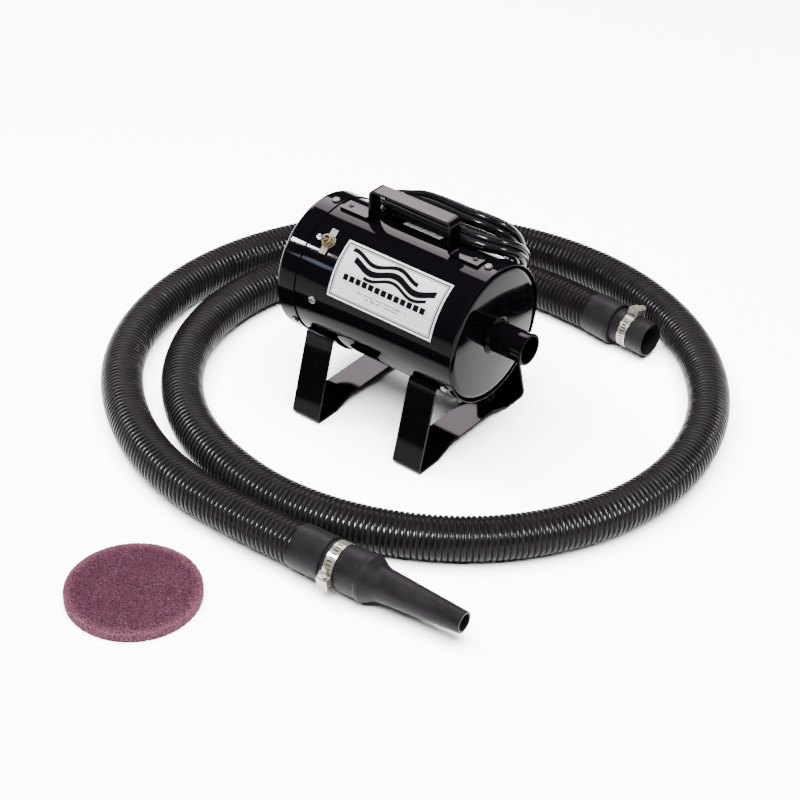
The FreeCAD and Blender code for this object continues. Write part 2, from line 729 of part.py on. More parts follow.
def clamp_band(inner, width, start):
    """Worm-drive band with its free end lying over it, and slots for the worm."""
    end = start + width
    band = turned([(start, inner), (start, inner + 0.8), (end, inner + 0.8), (end, inner)])
    for i in range(5, 34):
        slot = block(width * 0.55, 1.3, 3.0, V(start + width / 2.0, 0, inner + 0.4))
        slot.rotate(V(0, 0, 0), X_AXIS, 10 * i)
        band = band.cut(slot)
    return band


def clamp_housing(inner, width, start):
    """Folded steel case over the band that carries the worm screw."""
    mid = start + width / 2.0
    floor = inner + 0.9
    case = block(width + 1.6, 15.0, 9.2, V(mid, 0, floor + 4.6))
    lengthwise = [e for e in case.Edges if abs(e.tangentAt(e.FirstParameter).y) > 0.9]
    case = case.makeFillet(2.0, [e for e in lengthwise if e.CenterOfMass.z > floor + 5])
    hole = Part.makeCylinder(3.9, 30, V(mid, -15, floor + CLAMP_SCREW_OUT - 0.6), Y_AXIS)
    mouth = block(width - 1.6, 30.0, 2.0, V(mid, 0, floor + 0.3))
    return case.cut(hole).cut(mouth)


def clamp_screw(inner, width, start):
    """Worm with a slotted hex head on its +Y end."""
    mid = start + width / 2.0
    height = inner + 0.9 + CLAMP_SCREW_OUT - 0.6
    screw = Part.makeCylinder(3.5, 18.0, V(mid, -8.5, height), Y_AXIS)
    collar = Part.makeCylinder(4.9, 1.2, V(mid, 8.0, height), Y_AXIS)
    head = hexagon(4.6, 5.5)
    head.rotate(V(0, 0, 0), X_AXIS, -90)
    head.translate(V(mid, 9.2, height))
    slot = block(12.0, 2.4, 1.3, V(mid, 14.4, height))
    return screw.fuse([collar, head.cut(slot)]).removeSplitter()


def turn_clamp(shape, angle):
    """Turns a clamp piece about the hose axis. A positive angle leans it toward +Y."""
    shape.rotate(V(0, 0, 0), X_AXIS, -angle)
    return shape


# ---------------------------------------------------------------- power cord
# The hank is two bundles side by side. These are matching points along their middles, from the
# lobe that hangs behind the barrel, through the tie, to the fold at the left of the barrel top.
HANK_FRONT = ((70, 99, 158), (74, 94, 178), (90, 81.2, 199.7), (97, 64, 220.5), (95, 46.6, 233.1),
              (84, 31.5, 239.8), (62, 24.4, 242), (35, 22.7, 242.4), (5, 21.7, 242.6), (-25, 21.7, 242.6),
              (-50, 22.3, 242.5))
HANK_BACK = ((32, 108, 158), (56, 105, 176), (74, 94, 193.5), (78, 87, 211), (80, 73, 231), (74, 59, 244.5),
             (58, 49, 252), (35, 46, 253), (5, 48, 252), (-25, 52, 247), (-50, 56, 236))
BUNDLE_R = 11.0
TIE_AT = 2
PLUG_AT = V(33, 114, 92)


def cord_grip():
    """Moulded strain relief: flange, body through the wall and a tapered neck."""
    profile = [(0, CORD_R), (-3.5, CORD_R), (-3.5, 7.0), (0, 7.0), (0, 10.5), (3, 10.5), (4, 7.5),
               (GRIP_OUT, 5.2), (GRIP_OUT, CORD_R)]
    grip = turned(profile[::-1], [0, 0.5, 0.5, 0.5, 0, 0, 0.5, 0, 0])
    grip.rotate(V(0, 0, 0), Z_AXIS, 90)
    grip.translate(V(GRIP_X, BARREL_R, AXIS_Z))
    return grip


def cord_lead():
    """From inside the grip, out behind the barrel in a hanging bow, and into the hank."""
    points = [V(GRIP_X, 78, 150), V(GRIP_X, 144, 146), V(-8, 156, 104), V(40, 118, 112), V(56, 103, 142)]
    return tube(points, CORD_R, name="cord lead")


def cord_tail():
    """From the hank down to the plug."""
    points = [V(42, 106, 160), V(33, 114, 130), PLUG_AT + V(0, 0, 8)]
    return tube(points, CORD_R, name="cord tail")


def capsule(front, back, along, spread, radius):
    """Outline round two bundle middles, as a polygon square to the run of the hank."""
    middle = (front + back) * 0.5
    half = (back - front) * 0.5
    half = half - along * half.dot(along)
    across = V(half).normalize()
    up = along.cross(across)
    points = []
    for i in range(16):
        turn = 2 * math.pi * (i + 0.5) / 16
        side = 1 if math.cos(turn) > 0 else -1
        round_it = across * (radius * math.cos(turn)) + up * (radius * math.sin(turn))
        points.append(middle + half * (side * spread) + round_it)
    return Part.makePolygon(points + [points[0]])


def hank_along(i):
    """Direction of the hank at one pair of points."""
    a = max(i - 1, 0)
    b = min(i + 1, len(HANK_FRONT) - 1)
    return (V(*HANK_FRONT[b]) + V(*HANK_BACK[b]) - V(*HANK_FRONT[a]) - V(*HANK_BACK[a])).normalize()


def cord_hank():
    """Outer shape of the coiled cord, which is gathered by a tie and lies over the barrel top."""
    last = len(HANK_FRONT) - 1
    fold = ((0.92, 0.35, 0.30), (1.0, 0.72, 0.62), (1.0, 0.9, 0.9))
    sections = []
    for way, end in ((-1, 0), (1, last)):
        front = V(*HANK_FRONT[end])
        back = V(*HANK_BACK[end])
        along = hank_along(end)
        reach = (back - front).Length / 2.0 + BUNDLE_R
        caps = []
        for (far, spread, size), part in zip(fold, (0.97, 0.78, 0.45)):
            step = along * (way * reach * part)
            caps.append(capsule(front + step, back + step, along, spread, BUNDLE_R * size))
        if end == 0:
            sections = caps
            for i in range(last + 1):
                sections.append(capsule(V(*HANK_FRONT[i]), V(*HANK_BACK[i]), hank_along(i), 1.0, BUNDLE_R))
        else:
            sections += caps[::-1]
    return Part.makeLoft(sections, True, True)


def cord_tie():
    """Flat band round both bundles where they are gathered."""
    along = hank_along(TIE_AT)
    front = V(*HANK_FRONT[TIE_AT]) - along * 2.5
    back = V(*HANK_BACK[TIE_AT]) - along * 2.5
    outer = Part.Face(capsule(front, back, along, 1.0, BUNDLE_R + 1.4)).extrude(along * 5.0)
    inner = Part.Face(capsule(front - along, back - along, along, 1.0, BUNDLE_R)).extrude(along * 7.0)
    return outer.cut(inner)


def plug_body():
    """Moulded three-pin plug hanging from the tail, pins down."""
    body = Part.makeCone(13.0, 11.5, 26.0, V(0, 0, -26.0))
    body = body.common(block(26.0, 21.0, 60.0, V(0, 0, 0)))
    neck = Part.makeCone(8.0, 5.2, 16.0, V(0, 0, 0))
    body = body.fuse(neck).removeSplitter()
    body = body.cut(Part.makeCylinder(CORD_R, 14.0, V(0, 0, 4.0)))
    body.translate(PLUG_AT)
    return body


def plug_blades():
    """Two flat blades and a round earth pin."""
    blades = []
    for side in (1, -1):
        blades.append(block(1.5, 6.3, 17.0, PLUG_AT + V(side * 6.35, -3, -34.6)))
    blades.append(Part.makeCylinder(2.4, 20.0, PLUG_AT + V(0, 5.5, -46.1)))
    return Part.makeCompound(blades)


# ---------------------------------------------------------------- foam filter
def foam_filter():
    disc = Part.makeCylinder(FILTER_R, FILTER_T)
    disc = disc.makeFillet(0.8, [disc.Edges[0], disc.Edges[2]])
    disc.translate(FILTER_AT)
    return disc


def main():
    os.makedirs("parts", exist_ok=True)
    save(barrel(), "barrel")
    save(front_cap(), "front_cap")
    save(rear_cap(), "rear_cap")
    save(intake_guard(), "intake_guard")
    save(outlet_collar(), "outlet_collar")
    save(outlet_tube(), "outlet_tube")
    save(handle(), "handle")
    save(handle_rivets(), "handle_rivets")
    save(leg(LEG_X[1]), "front_leg")
    save(leg(LEG_X[0]), "rear_leg")
    save(leg_screws(), "leg_screws")
    for name, x, angles, radius in (("front_cap_screws", FRONT_SCREW_X, CAP_SCREW_ANGLES, BARREL_R),
                                    ("rear_cap_screws", REAR_SCREW_X, CAP_SCREW_ANGLES, REAR_CAP_R),
                                    ("motor_mount_screws", MOUNT_SCREW_X, MOUNT_SCREW_ANGLES, BARREL_R)):
        save(Part.makeCompound(barrel_screws(x, angles, radius, 7.0)), name)
    save(label(-60.5, 86.0, 13.0, 60.5, 0.4), "front_label")
    save(label(-27.0, 25.0, 98.5, 126.0, 0.25), "top_label")
    save(switch_plate(), "switch_plate")
    save(switch_nut(), "switch_nut")
    save(switch_bushing(), "switch_bushing")
    save(switch_body(), "switch_body")
    save(switch_lever(), "switch_lever")
    save(motor_mount_ring(), "motor_mount_ring")
    save(motor_gasket(), "motor_gasket")
    save(fan_shell(), "fan_shell")
    save(diffuser(), "diffuser")
    save(motor_bracket(), "motor_bracket")
    save(stator_core(), "stator_core")
    save(field_coils(), "field_coils")
    save(bearings(), "bearings")
    save(brush_holders(), "brush_holders")
    save(brushes(), "brushes")
    save(internal_wires(), "internal_wires")
    save(motor_shaft(), "motor_shaft")
    save(impeller(), "impeller")
    save(impeller_nut(), "impeller_nut")
    save(armature_core(), "armature_core")
    save(armature_windings(), "armature_windings")
    save(commutator(), "commutator")
    save(tube(hose_route(), HOSE_R, HOSE_BORE_R, "hose"), "hose_tube")
    save(cuff_machine(), "hose_cuff_machine")
    save(hose_sleeve(), "hose_sleeve")
    save(cuff_nozzle(), "hose_cuff_nozzle")
    save(nozzle(), "nozzle")
    for end, place, angle, size in (("machine", at_machine, 15, (SLEEVE_R - 0.6, 12.0, 52.0)),
                                    ("nozzle", at_nozzle, -98, (24.4, 12.0, 46.0))):
        save(place(turn_clamp(clamp_band(*size), angle)), "clamp_band_" + end)
        save(place(turn_clamp(clamp_housing(*size), angle)), "clamp_housing_" + end)
        save(place(turn_clamp(clamp_screw(*size), angle)), "clamp_screw_" + end)
    save(cord_grip(), "cord_grip")
    save(cord_lead(), "cord_lead")
    save(cord_hank(), "cord_hank")
    save(cord_tie(), "cord_tie")
    save(cord_tail(), "cord_tail")
    save(plug_body(), "plug_body")
    save(plug_blades(), "plug_blades")
    save(foam_filter(), "foam_filter")


main()
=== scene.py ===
"""Pet dryer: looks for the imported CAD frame.

Sizes and places are in millimetres in the blower's own axes: the origin is on the floor under the
barrel, X runs along the barrel toward the outlet and Z is up. at() turns them into the frame's metres.
"""
import json
import math

import bpy
from mathutils import Matrix, Quaternion, Vector, noise


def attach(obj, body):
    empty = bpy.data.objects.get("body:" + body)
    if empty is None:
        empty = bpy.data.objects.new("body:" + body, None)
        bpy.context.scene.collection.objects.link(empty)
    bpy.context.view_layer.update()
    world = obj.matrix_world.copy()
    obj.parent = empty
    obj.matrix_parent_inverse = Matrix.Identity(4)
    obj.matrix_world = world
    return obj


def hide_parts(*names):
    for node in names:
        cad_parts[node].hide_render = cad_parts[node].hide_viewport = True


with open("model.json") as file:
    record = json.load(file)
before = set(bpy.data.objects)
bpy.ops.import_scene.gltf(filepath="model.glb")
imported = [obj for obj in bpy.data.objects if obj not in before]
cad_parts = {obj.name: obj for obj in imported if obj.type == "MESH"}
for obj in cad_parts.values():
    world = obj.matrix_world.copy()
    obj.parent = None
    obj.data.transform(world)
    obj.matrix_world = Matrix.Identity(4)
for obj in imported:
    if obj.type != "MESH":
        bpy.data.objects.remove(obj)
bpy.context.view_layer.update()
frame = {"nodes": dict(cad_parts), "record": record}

# --- sizes shared with the CAD
SHIFT = Vector((-14.0, 211.85, 0.0))
AXIS_Z = 150.0
BARREL_R = 82.5
HOSE_R = 24.9
HOSE_Z = 25.2
NOZZLE_START = Vector((92, -306, 28.3))
NOZZLE_TURN = 4.0
MACHINE_START = Vector((77, 272.9, 26.7))
MACHINE_TURN = -5.0
HOSE_CORNERS = ((-105, -305), (-214, -258), (-305, -172), (-351, -52), (-348, 78), (-294, 203), (-194, 303),
                (-64, 357), (75, 359), (201, 304), (292, 206), (333, 84), (322, -37), (266, -138),
                (190, -206), (98, -249), (-4, -262), (-116, -237), (-200, -182), (-256, -105),
                (-281, -16), (-274, 75), (-236, 157), (-168, 224), (-65, 270))
RIB_PITCH = 6.2
RIB_DEPTH = 2.3
CORD_R = 3.8
CORD_LEAD = ((-60, 80, 150), (-60, 100, 150), (-60, 144, 146), (-8, 156, 104), (40, 118, 112))
HANK_FRONT = ((70, 99, 158), (74, 94, 178), (90, 81.2, 199.7), (97, 64, 220.5), (95, 46.6, 233.1),
              (84, 31.5, 239.8), (62, 24.4, 242), (35, 22.7, 242.4), (5, 21.7, 242.6), (-25, 21.7, 242.6), (-50, 22.3, 242.5))
HANK_BACK = ((32, 108, 158), (56, 105, 176), (74, 94, 193.5), (78, 87, 211), (80, 73, 231), (74, 59, 244.5),
             (58, 49, 252), (35, 46, 253), (5, 48, 252), (-25, 52, 247), (-50, 56, 236))
HANK_TURNS = 5
HANK_STEP = 0.006       # metres between the hank's points
HANK_EASE = 1           # rounds of averaging over them
CORD_TAIL = ((33, 114, 130), (33, 114, 101))
FILTER_AT = Vector((-10, -453, 0))
FILTER_R = 73.0
FILTER_T = 11.5
LABEL = (-60.5, 86.0, 13.0, 60.5)
TOP_LABEL = (-27.0, 25.0, 98.5, 126.0)


def at(x, y, z):
    """Millimetres in the blower's axes to metres in the frame."""
    return (Vector((x, y, z)) + SHIFT) * 0.001


def level(degrees):
    """Level unit vector, turned from +X toward +Y."""
    return Vector((math.cos(math.radians(degrees)), math.sin(math.radians(degrees)), 0))


def link(obj):
    bpy.context.scene.collection.objects.link(obj)
    return obj


# ---------------------------------------------------------------- camera, floor and lights
def add_camera():
    data = bpy.data.cameras.new("camera")
    data.sensor_width = 36.0
    data.lens = 92.44
    data.clip_end = 50.0
    cam = link(bpy.data.objects.new("camera", data))
    forward = Vector((-0.4907, 0.6452, -0.5856))
    roll = Quaternion((0, 0, 1), math.radians(1.8))
    cam.rotation_mode = "QUATERNION"
    cam.rotation_quaternion = forward.to_track_quat("-Z", "Y") @ roll
    cam.location = at(1181.6, -1572.1, 1426.3)
    bpy.context.scene.camera = cam


def add_plane(name, size_x, size_y, location, rotation=(0, 0, 0)):
    mesh = bpy.data.meshes.new(name)
    x, y = size_x / 2.0, size_y / 2.0
    mesh.from_pydata([(-x, -y, 0), (x, -y, 0), (x, y, 0), (-x, y, 0)], [], [(0, 1, 2, 3)])
    obj = link(bpy.data.objects.new(name, mesh))
    obj.location = location
    obj.rotation_euler = rotation
    return obj


def add_wall(radius, height, material):
    """Round pale wall far behind everything. Only the camera sees it: it lights nothing."""
    sides = 64
    ring = [level(360 * k / sides) * radius for k in range(sides)]
    verts = ring + [p + Vector((0, 0, height)) for p in ring]
    mesh = bpy.data.meshes.new("wall")
    faces = [(k, (k + 1) % sides, sides + (k + 1) % sides, sides + k) for k in range(sides)]
    mesh.from_pydata(verts, [], faces)
    mesh.materials.append(material)
    wall = link(bpy.data.objects.new("wall", mesh))
    wall.visible_diffuse = wall.visible_glossy = wall.visible_shadow = wall.visible_transmission = False


def add_light(name, toward, distance, size, power, color=(1, 1, 1), glossy=True, target=(0, 0, 150), only=()):
    """Soft box in a direction from the blower, turned to face it. With only, it lights just those objects."""
    data = bpy.data.lights.new(name, "AREA")
    data.shape = "RECTANGLE"
    data.size, data.size_y = size
    data.energy = power
    data.color = color
    lamp = link(bpy.data.objects.new(name, data))
    way = Vector(toward).normalized()
    lamp.location = at(*target) + way * distance
    lamp.rotation_euler = (-way).to_track_quat("-Z", "Y").to_euler()
    lamp.visible_glossy = glossy
    if only:
        group = bpy.data.collections.new(name + "_on")
        for obj in only:
            group.objects.link(obj)
        lamp.light_linking.receiver_collection = group
        lamp.visible_diffuse = False
    return lamp


# ---------------------------------------------------------------- materials
class Shader:
    """Small helper round one material's nodes."""

    def __init__(self, name, color, rough, **values):
        self.mat = bpy.data.materials.new(name)
        self.mat.use_nodes = True
        self.nodes = self.mat.node_tree.nodes
        self.links = self.mat.node_tree.links
        self.bsdf = self.nodes["Principled BSDF"]
        self.bsdf.inputs["Base Color"].default_value = (*color, 1)
        self.bsdf.inputs["Roughness"].default_value = rough
        for key, value in values.items():
            self.bsdf.inputs[key.replace("_", " ")].default_value = value
        self.where = self.nodes.new("ShaderNodeTexCoord").outputs["Object"]

    def add(self, kind, **values):
        node = self.nodes.new("ShaderNode" + kind)
        for key, value in values.items():
            setattr(node, key, value)
        return node

    def join(self, a, b):
        self.links.new(a, b)

    def math(self, operation, *inputs):
        node = self.add("Math", operation=operation)
        for i, value in enumerate(inputs):
            if isinstance(value, (int, float)):
                node.inputs[i].default_value = value
            else:
                self.join(value, node.inputs[i])
        return node.outputs[0]

    def noise(self, scale, detail=4.0, rough=0.5, stretch=None):
        """Noise value over object coordinates. scale is in features per metre."""
        node = self.add("TexNoise")
        node.inputs["Scale"].default_value = scale
        node.inputs["Detail"].default_value = detail
        node.inputs["Roughness"].default_value = rough
        source = self.where
        if stretch:
            mapping = self.add("Mapping")
            mapping.inputs["Scale"].default_value = stretch
            self.join(source, mapping.inputs["Vector"])
            source = mapping.outputs[0]
        self.join(source, node.inputs["Vector"])
        return node.outputs["Fac"]

    def cells(self, scale):
        """Distance to the nearest of scattered points, scale of them per metre."""
        node = self.add("TexVoronoi", feature="F1")
        node.inputs["Scale"].default_value = scale
        self.join(self.where, node.inputs["Vector"])
        return node.outputs["Distance"]

    def spread(self, value, low, high, start=0.0, end=1.0):
        """Maps value from start..end to low..high, clamped."""
        node = self.add("MapRange")
        node.inputs["From Min"].default_value = start
        node.inputs["From Max"].default_value = end
        node.inputs["To Min"].default_value = low
        node.inputs["To Max"].default_value = high
        self.join(value, node.inputs["Value"])
        return node.outputs["Result"]

    def tint(self, factor, dark, light):
        """Colour between two, by a factor from 0 to 1."""
        node = self.add("Mix", data_type="RGBA")
        node.inputs["A"].default_value = (*dark, 1)
        node.inputs["B"].default_value = (*light, 1)
        self.join(factor, node.inputs["Factor"])
        return node.outputs["Result"]

    def paint(self, color):
        self.join(color, self.bsdf.inputs["Base Color"])

    def gloss(self, value):
        self.join(value, self.bsdf.inputs["Roughness"])

    def bump(self, height, strength, distance):
        node = self.add("Bump")
        node.inputs["Strength"].default_value = strength
        node.inputs["Distance"].default_value = distance
        self.join(height, node.inputs["Height"])
        self.join(node.outputs[0], self.bsdf.inputs["Normal"])

    def on_barrel(self):
        """Millimetres along the barrel, and degrees round it from the -Y side upward."""
        split = self.add("SeparateXYZ")
        self.join(self.where, split.inputs[0])
        along = self.math("MULTIPLY", self.math("SUBTRACT", split.outputs[0], SHIFT.x / 1000), 1000.0)
        y = self.math("SUBTRACT", SHIFT.y / 1000, split.outputs[1])
        z = self.math("SUBTRACT", split.outputs[2], AXIS_Z / 1000)
        angle = self.math("MULTIPLY", self.math("ARCTAN2", z, y), 180 / math.pi)
        return along, angle

    def near(self, value, centre, half, soft=0.12):
        """1 where value is within half of centre, with a soft edge."""
        gap = self.math("ABSOLUTE", self.math("SUBTRACT", value, centre))
        return self.spread(gap, 1.0, 0.0, half - soft, half + soft)


def enamel(name, ior):
    """Black gloss enamel: faint orange peel, wiping marks in the gloss and fine dust."""
    s = Shader(name, (0.001, 0.001, 0.001), 0.05, IOR=ior)
    s.bsdf.inputs["Specular Tint"].default_value = (1.0, 0.93, 0.97, 1)
    s.gloss(s.spread(s.noise(22, 5, 0.6, (1, 3, 3)), 0.035, 0.085, 0.35, 0.75))
    dust = s.spread(s.cells(900), 1.0, 0.0, 0.03, 0.09)
    s.paint(s.tint(s.math("MULTIPLY", dust, 0.3), (0.0006, 0.0005, 0.0007), (0.010, 0.009, 0.010)))
    s.bump(s.noise(420, 2, 0.5), 0.03, 0.0002)
    return s.mat


def hose_plastic():
    """Glossy flexible vinyl with slight mottling. The mesh's groove value makes it dull between the ribs."""
    s = Shader("hose_plastic", (0.0015, 0.0014, 0.0016), 0.2, IOR=1.11)
    groove = s.spread(s.add("Attribute", attribute_name="groove").outputs["Fac"], 0.0, 0.6, 0.12, 0.5)
    s.gloss(s.math("ADD", s.spread(s.noise(110, 4), 0.17, 0.22, 0.3, 0.7), groove))
    mottle = s.spread(s.noise(60, 5), 0, 1, 0.4, 0.75)
    s.paint(s.tint(mottle, (0.0015, 0.0012, 0.0013), (0.0024, 0.0019, 0.0021)))
    s.bump(s.noise(900, 3), 0.04, 0.0002)
    return s.mat


def cuff_rubber():
    """Soft moulded rubber with a dry bloom."""
    s = Shader("cuff_rubber", (0.002, 0.0018, 0.002), 0.5, IOR=1.12)
    bloom = s.spread(s.noise(45, 6, 0.6), 0, 1, 0.35, 0.7)
    s.paint(s.tint(bloom, (0.0027, 0.0024, 0.0027), (0.0047, 0.0042, 0.0047)))
    s.gloss(s.spread(s.noise(130, 5), 0.3, 0.48, 0.3, 0.7))
    s.bump(s.noise(1500, 3), 0.15, 0.00015)
    return s.mat


def cord_plastic():
    """Round vinyl jacket with the faint ripple of its inner cores."""
    s = Shader("cord_plastic", (0.0015, 0.0015, 0.0017), 0.2, IOR=1.11)
    s.gloss(s.spread(s.noise(220, 3), 0.14, 0.22, 0.3, 0.7))
    s.paint(s.tint(s.noise(90, 4), (0.001, 0.001, 0.0012), (0.0025, 0.0023, 0.0027)))
    s.bump(s.noise(300, 2), 0.1, 0.0003)
    return s.mat


def moulding(name="black_moulding", color=(0.003, 0.003, 0.0033)):
    """Fine-textured moulded plastic."""
    s = Shader(name, color, 0.45, IOR=1.4)
    light = tuple(c * 1.8 for c in color)
    s.paint(s.tint(s.noise(140, 5), color, light))
    s.gloss(s.spread(s.noise(300, 3), 0.35, 0.55))
    s.bump(s.noise(2400, 2), 0.2, 0.0001)
    return s.mat


def metal(name, dark, light, rough, grain, bump, metallic):
    """Bare or plated metal with a directional grain and uneven brightness."""
    s = Shader(name, light, rough[0], Metallic=metallic)
    streak = s.noise(grain[0], 6, 0.65, grain[1])
    s.paint(s.tint(s.spread(streak, 0, 1, 0.3, 0.7), dark, light))
    s.gloss(s.spread(s.noise(grain[0] * 2.5, 4, 0.6, grain[1]), rough[0], rough[1], 0.3, 0.7))
    s.bump(streak, bump, 0.0002)
    return s.mat


def front_label():
    """Silver film with a double printed frame, flowing air lines, a row of plain blocks and thin rules."""
    s = Shader("silver_label", (0.25, 0.25, 0.26), 0.3, IOR=1.08)
    along, angle = s.on_barrel()
    u = s.math("SUBTRACT", along, LABEL[0])
    v = s.math("MULTIPLY", s.math("SUBTRACT", angle, LABEL[2]), math.pi / 180 * (BARREL_R + 0.4))
    width = LABEL[1] - LABEL[0]
    height = (LABEL[3] - LABEL[2]) * math.pi / 180 * (BARREL_R + 0.4)
    edge_u = s.math("MINIMUM", u, s.math("SUBTRACT", width, u))
    edge_v = s.math("MINIMUM", v, s.math("SUBTRACT", height, v))
    edge = s.math("MINIMUM", edge_u, edge_v)
    ink = s.math("MAXIMUM", s.near(edge, 3.1, 0.85), s.near(edge, 5.2, 0.4))
    for base, swing, half, start, end in ((56.0, 4.2, 2.6, 12, 108), (46.5, 4.2, 3.9, 20, 134),
                                          (38.5, 4.2, 2.1, 40, 126)):
        bow = s.math("MULTIPLY", s.math("SINE", s.math("MULTIPLY", u, 2 * math.pi / 62)), swing)
        gap = s.math("SUBTRACT", s.math("SUBTRACT", v, base), bow)
        span = s.near(u, (start + end) / 2, (end - start) / 2)
        ink = s.math("MAXIMUM", ink, s.math("MULTIPLY", s.near(gap, 0.0, half, 0.3), span))
    blocks = s.near(s.math("PINGPONG", s.math("SUBTRACT", u, 18.0), 4.5), 0.0, 3.6, 0.2)
    bar = s.math("MULTIPLY", s.near(v, 28.0, 3.6), s.near(u, 73.5, 58.5))
    ink = s.math("MAXIMUM", ink, s.math("MULTIPLY", bar, blocks))
    for row, half, start, end in ((33.5, 0.22, 16, 131), (22.5, 0.22, 16, 131), (17.5, 1.2, 40, 108),
                                  (13.7, 0.9, 50, 98), (9.5, 0.22, 16, 131)):
        line = s.math("MULTIPLY", s.near(v, row, half, 0.15), s.near(u, (start + end) / 2, (end - start) / 2))
        if half > 0.4:
            line = s.math("MULTIPLY", line, s.spread(s.noise(700, 1, 0.5, (1, 0.3, 0.3)), 0, 1, 0.42, 0.5))
        ink = s.math("MAXIMUM", ink, s.math("MULTIPLY", line, 0.8))
    brushed = s.spread(s.noise(500, 3, 0.6, (1, 12, 12)), 0, 1, 0.3, 0.7)
    film = s.tint(brushed, (0.21, 0.21, 0.22), (0.31, 0.31, 0.322))
    mix = s.add("Mix", data_type="RGBA")
    mix.inputs["B"].default_value = (0.001, 0.0009, 0.0012, 1)
    s.join(film, mix.inputs["A"])
    s.join(ink, mix.inputs["Factor"])
    s.paint(mix.outputs["Result"])
    s.join(s.spread(ink, 0.4, 0.0), s.bsdf.inputs["Metallic"])
    s.gloss(s.spread(s.noise(350, 3), 0.24, 0.38))
    s.bump(ink, 0.15, 0.00005)
    return s.mat


def top_label():
    """White rating plate with rows of broken grey marks in place of print."""
    s = Shader("white_label", (0.8, 0.8, 0.8), 0.35)
    along, angle = s.on_barrel()
    u = s.math("SUBTRACT", along, TOP_LABEL[0])
    v = s.math("MULTIPLY", s.math("SUBTRACT", angle, TOP_LABEL[2]), math.pi / 180 * BARREL_R)
    row = s.math("PINGPONG", v, 1.15)
    in_row = s.near(row, 0.0, 0.42, 0.15)
    broken = s.spread(s.noise(900, 1, 0.5, (1, 0.35, 0.35)), 0, 1, 0.46, 0.54)
    inside = s.math("MULTIPLY", s.near(u, 26.0, 22.5), s.near(v, 20.0, 17.5))
    ink = s.math("MULTIPLY", s.math("MULTIPLY", in_row, broken), inside)
    s.paint(s.tint(s.math("MULTIPLY", ink, 0.85), (0.3, 0.3, 0.31), (0.012, 0.012, 0.014)))
    s.gloss(s.spread(s.noise(300, 3), 0.28, 0.42))
    s.bump(s.noise(700, 2), 0.05, 0.0001)
    return s.mat


def foam_material():
    """Open-cell foam: painted shade in the pore hollows between pale struts, a few painted highlights, and a
    paler outer ring painted for the light that comes through the edge.
    """
    s = Shader("foam", (0.01, 0.003, 0.006), 0.85, IOR=1.15, Subsurface_Weight=0.12, Subsurface_Scale=0.001)
    s.bsdf.inputs["Subsurface Radius"].default_value = (1.0, 0.5, 0.7)
    split = s.add("SeparateXYZ")
    s.join(s.where, split.inputs[0])
    dx = s.math("SUBTRACT", split.outputs[0], (FILTER_AT + SHIFT).x / 1000)
    dy = s.math("SUBTRACT", split.outputs[1], (FILTER_AT + SHIFT).y / 1000)
    reach = s.math("SQRT", s.math("ADD", s.math("MULTIPLY", dx, dx), s.math("MULTIPLY", dy, dy)))
    # Painted light: the paler outer ring stands for light coming through the foam's cut edge, painted into its
    # colour.
    painted_rim_light = s.spread(reach, 0.0, 1.0, 0.057, 0.0745)
    painted_rim_light = s.math("POWER", painted_rim_light, 2.6)
    patches = s.spread(s.noise(16, 4), 0.0, 1.0, 0.3, 0.7)
    base = s.tint(patches, (0.0066, 0.0021, 0.0036), (0.0092, 0.003, 0.005))
    edge = s.add("Mix", data_type="RGBA")
    edge.inputs["B"].default_value = (0.028, 0.0102, 0.0145, 1)
    s.join(base, edge.inputs["A"])
    s.join(painted_rim_light, edge.inputs["Factor"])
    mix = s.add("Mix", data_type="RGBA", blend_type="MULTIPLY")
    mix.inputs["Factor"].default_value = 1.0
    s.join(edge.outputs["Result"], mix.inputs["A"])
    # Painted shade: the dark cells are shade in the foam's pore hollows, painted into its colour between the
    # pale struts; the same pattern also bumps the surface.
    painted_pore_shade = s.spread(s.cells(400), 0.0, 1.0, 0.2, 0.55)
    grain = s.spread(s.noise(700, 2, 0.7), 0.0, 1.0, 0.4, 0.6)
    struts = s.math("MULTIPLY", s.math("ADD", painted_pore_shade, grain), 0.5)
    s.join(s.tint(struts, (0.1, 0.08, 0.09), (2.7, 2.8, 2.8)), mix.inputs["B"])
    # Painted highlight: a few pale specks painted into the colour as glints.
    painted_glint = s.math("MULTIPLY", s.spread(s.noise(900, 1, 0.5), 0.0, 1.0, 0.68, 0.76), 0.8)
    top = s.add("Mix", data_type="RGBA")
    top.inputs["B"].default_value = (0.12, 0.08, 0.1, 1)
    s.join(mix.outputs["Result"], top.inputs["A"])
    s.join(painted_glint, top.inputs["Factor"])
    s.paint(top.outputs["Result"])
    s.bump(struts, 0.7, 0.0008)
    return s.mat


def floor_material():
    s = Shader("floor_paper", (0.93, 0.93, 0.93), 0.7)
    s.paint(s.tint(s.noise(3, 3), (0.92, 0.92, 0.925), (0.94, 0.94, 0.94)))
    s.gloss(s.spread(s.noise(40, 3), 0.65, 0.75))
    s.bsdf.inputs["Specular IOR Level"].default_value = 0.02
    return s.mat


def glow(name, color, strength):
    mat = bpy.data.materials.new(name)
    mat.use_nodes = True
    nodes = mat.node_tree.nodes
    nodes.clear()
    lamp = nodes.new("ShaderNodeEmission")
    lamp.inputs["Color"].default_value = (*color, 1)
    lamp.inputs["Strength"].default_value = strength
    out = nodes.new("ShaderNodeOutputMaterial")
    mat.node_tree.links.new(lamp.outputs[0], out.inputs["Surface"])
    return mat


